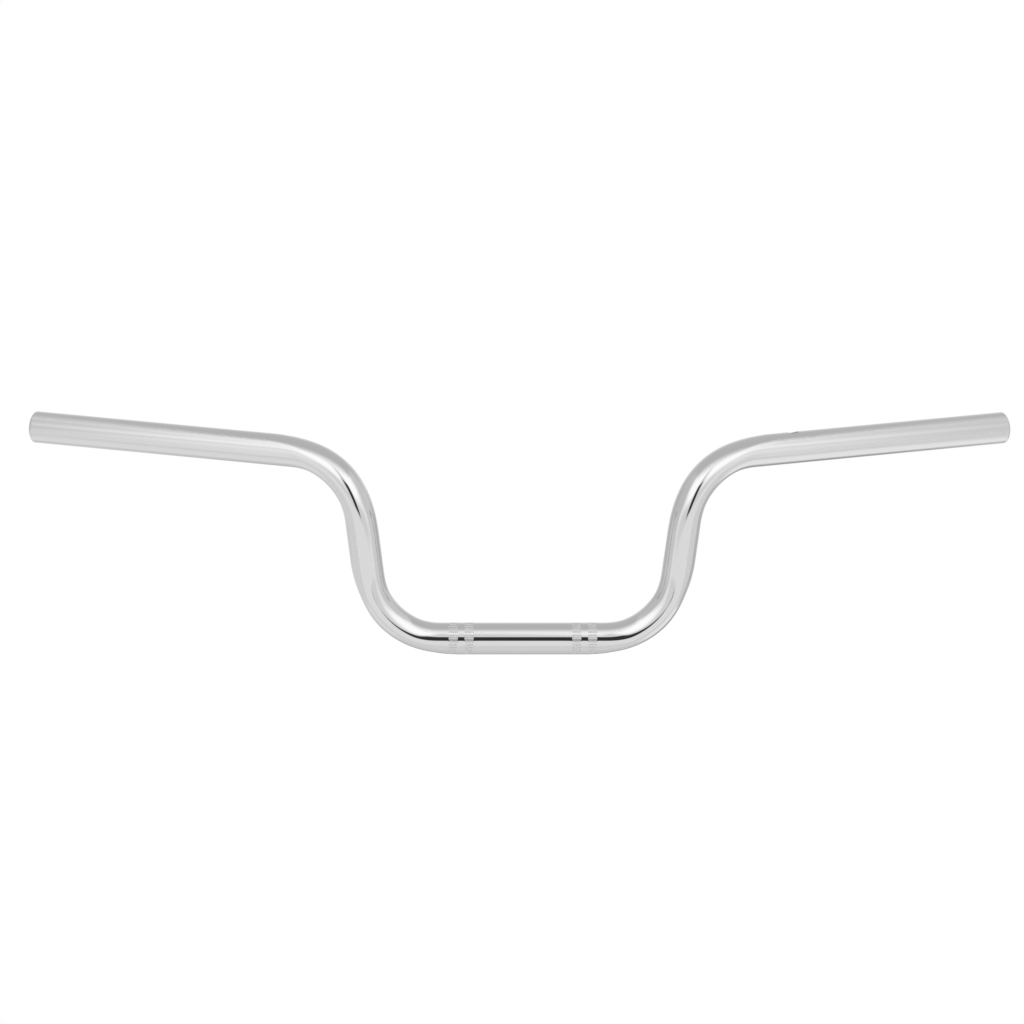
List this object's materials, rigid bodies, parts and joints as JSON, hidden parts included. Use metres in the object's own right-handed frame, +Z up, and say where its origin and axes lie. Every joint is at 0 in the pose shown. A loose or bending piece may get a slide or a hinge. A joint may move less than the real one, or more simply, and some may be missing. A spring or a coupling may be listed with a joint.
{
  "type": "motorcycle handlebar",
  "caption": "Raised, swept-back motorcycle handlebar of bent chrome-plated steel tube, with knurled clamp bands, open grip ends and a switch locating hole.",
  "frame": {"origin": "on the tube's axis, in the middle of the clamp straight", "axes": "+X along the clamp straight towards the throttle side, +Y back towards the rider, +Z up along the risers"},
  "size_m": [0.6906, 0.1097, 0.1552],
  "materials": {
    "chromed_steel": "bright chrome plate on polished steel tube, matt on the knurled clamp bands"
  },
  "bodies": {
    "root": {"handlebar_tube": "chromed_steel"}
  },
  "joints": []
}
